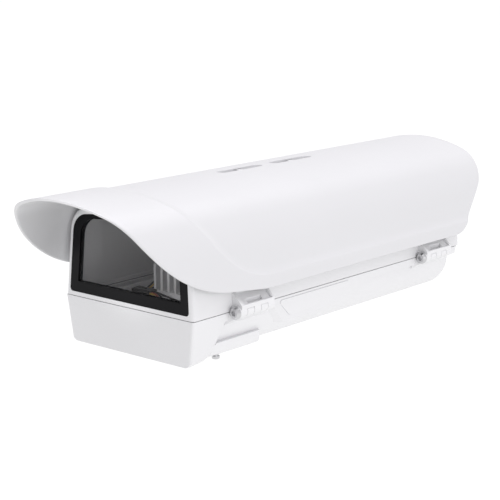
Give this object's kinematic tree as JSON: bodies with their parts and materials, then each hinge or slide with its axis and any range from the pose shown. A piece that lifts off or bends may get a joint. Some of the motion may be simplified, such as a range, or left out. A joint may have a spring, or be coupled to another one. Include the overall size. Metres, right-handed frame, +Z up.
{
  "type": "security camera housing",
  "caption": "Outdoor housing for a box camera: hinged two-part case with a front window, a sliding arched sunshield with visor, cable glands and a bracket seat.",
  "frame": {"origin": "middle of the four bracket holes, in the seat plate's underside", "axes": "+Z up; -Y towards the window and visor; +X towards the hinges"},
  "size_m": [0.1637, 0.4855, 0.1379],
  "materials": {
    "case_paint": "white powder coat",
    "shield_plastic": "white, satin",
    "window_glass": "clear",
    "window_border": "black, satin",
    "seal_rubber": "black",
    "badge_plastic": "light grey, bare",
    "foot_plastic": "white",
    "gland_plastic": "light grey",
    "plate_metal": "white paint",
    "heater_aluminium": "plain",
    "connector_plastic": "black",
    "pin_brass": "plain",
    "terminal_plastic": "white",
    "thermostat_plastic": "black",
    "knob_metal": "knurled",
    "lead_black": "black",
    "lead_yellow": "dull yellow",
    "lead_red": "dull red",
    "spacer_metal": "plain",
    "screw_steel": "plain"
  },
  "bodies": {
    "base": {"badge_plate": "badge_plastic", "camera_screw": "knob_metal", "camera_tray": "plate_metal", "closing_screw_front": "screw_steel", "closing_screw_rear": "screw_steel", "connector_block": "connector_plastic", "connector_pins": "pin_brass", "corner_foot_left": "foot_plastic", "corner_foot_right": "foot_plastic", "foot_screws": "screw_steel", "gland_body_1": "gland_plastic", "gland_body_2": "gland_plastic", "gland_body_3": "gland_plastic", "gland_cap_1": "gland_plastic", "gland_cap_2": "gland_plastic", "gland_cap_3": "gland_plastic", "gland_nut_1": "gland_plastic", "gland_nut_2": "gland_plastic", "gland_nut_3": "gland_plastic", "gland_seal_1": "seal_rubber", "gland_seal_2": "seal_rubber", "gland_seal_3": "seal_rubber", "heater_block": "heater_aluminium", "hinge_screw_front": "screw_steel", "hinge_screw_rear": "screw_steel", "lead_heater_black_1": "lead_black", "lead_heater_black_2": "lead_black", "lead_heater_red": "lead_red", "lead_heater_yellow": "lead_yellow", "lead_supply_black_1": "lead_black", "lead_supply_black_2": "lead_black", "lead_supply_red": "lead_red", "lead_supply_yellow": "lead_yellow", "lower_case": "case_paint", "seam_seal": "seal_rubber", "seat_plate": "plate_metal", "seat_plate_screws": "screw_steel", "strip_screws": "screw_steel", "terminal_strip": "terminal_plastic", "thermostat": "thermostat_plastic", "tray_screws": "screw_steel"},
    "cover": {"upper_case": "case_paint", "window_gasket": "window_border", "window_glass": "window_glass", "shield_spacer_front": "spacer_metal", "shield_spacer_rear": "spacer_metal", "shield_screw_front": "screw_steel", "shield_screw_rear": "screw_steel"},
    "shield": {"sunshield": "shield_plastic"}
  },
  "joints": [
    {"name": "cover_hinge", "type": "hinge", "parent": "base", "child": "cover", "pos_m": [0.0764, -0.0781, 0.041], "axis": [0, 1, 0], "range_deg": [0, 100]},
    {"name": "shield_slide", "type": "slide", "parent": "cover", "child": "shield", "axis": [0, 1, 0], "range_m": [-0.018, 0.018]}
  ]
}
